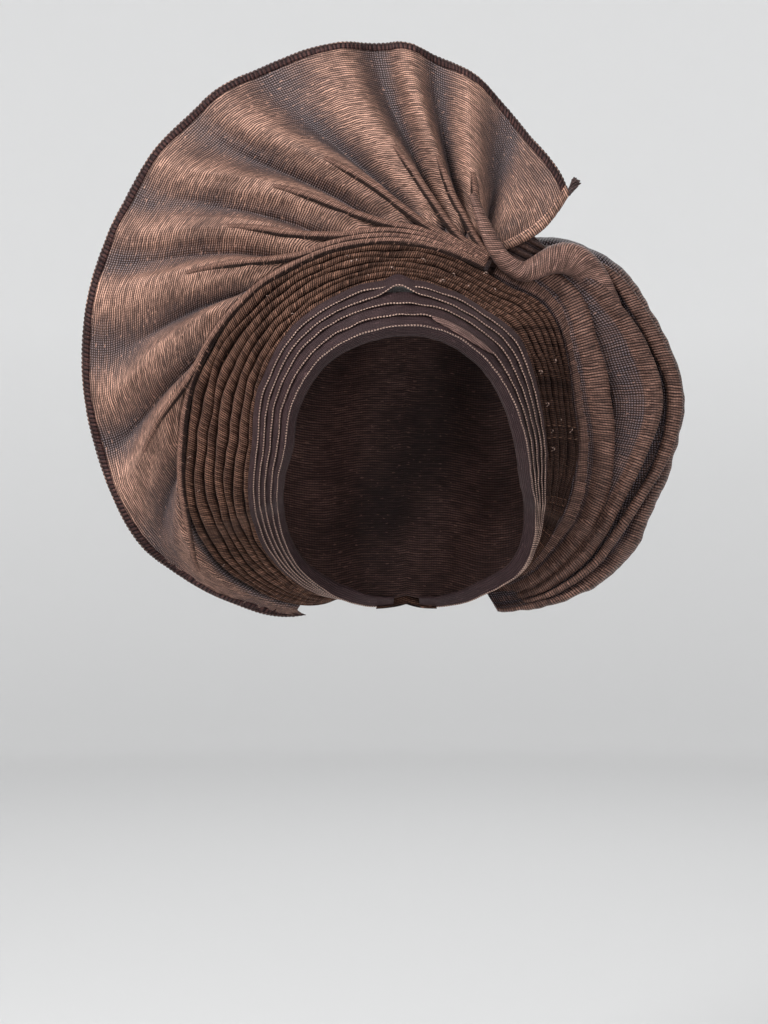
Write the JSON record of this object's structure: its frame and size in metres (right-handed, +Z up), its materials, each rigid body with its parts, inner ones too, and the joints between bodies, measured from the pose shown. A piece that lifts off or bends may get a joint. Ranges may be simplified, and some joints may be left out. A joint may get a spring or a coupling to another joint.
{
  "type": "tied gele head tie",
  "caption": "Stiff woven head tie with pleats wrapped round an open head hollow, a fanned sheet above and a folded puff at one side.",
  "frame": {"origin": "top of the inside of the hollow, where the wearer's crown touches the wrap", "axes": "+Z up the head, -Y the way the wearer faces, +X the wearer's left side"},
  "size_m": [0.3539, 0.1839, 0.3362],
  "materials": {
    "wrap_cloth": "dark plum-brown woven cloth, soft sheen",
    "brow_cloth": "flat plum-brown bands with copper twisted-thread edges",
    "pleat_cloth": "brown woven cloth in tight rounded pleats, copper flecks",
    "fan_cloth": "stiff woven cloth, rose-copper metallic threads over dark brown, dark selvedge",
    "puff_cloth": "the same woven cloth in rounded folds, copper threads over dark brown",
    "frayed_thread": "loose dark threads"
  },
  "bodies": {
    "root": {"crown_wrap": "wrap_cloth", "brow_layer_1": "brow_cloth", "brow_layer_2": "brow_cloth", "brow_layer_3": "brow_cloth", "brow_layer_4": "brow_cloth", "brow_layer_5": "brow_cloth", "pleat_1": "pleat_cloth", "pleat_2": "pleat_cloth", "pleat_3": "pleat_cloth", "pleat_4": "pleat_cloth", "pleat_5": "pleat_cloth", "pleat_6": "pleat_cloth", "pleat_7": "pleat_cloth", "fan": "fan_cloth", "side_puff": "puff_cloth", "puff_fold_1": "puff_cloth", "puff_fold_2": "puff_cloth", "puff_fold_3": "puff_cloth", "knot_roll": "puff_cloth", "nape_tuck": "wrap_cloth", "corner_tuft": "frayed_thread"}
  },
  "joints": []
}
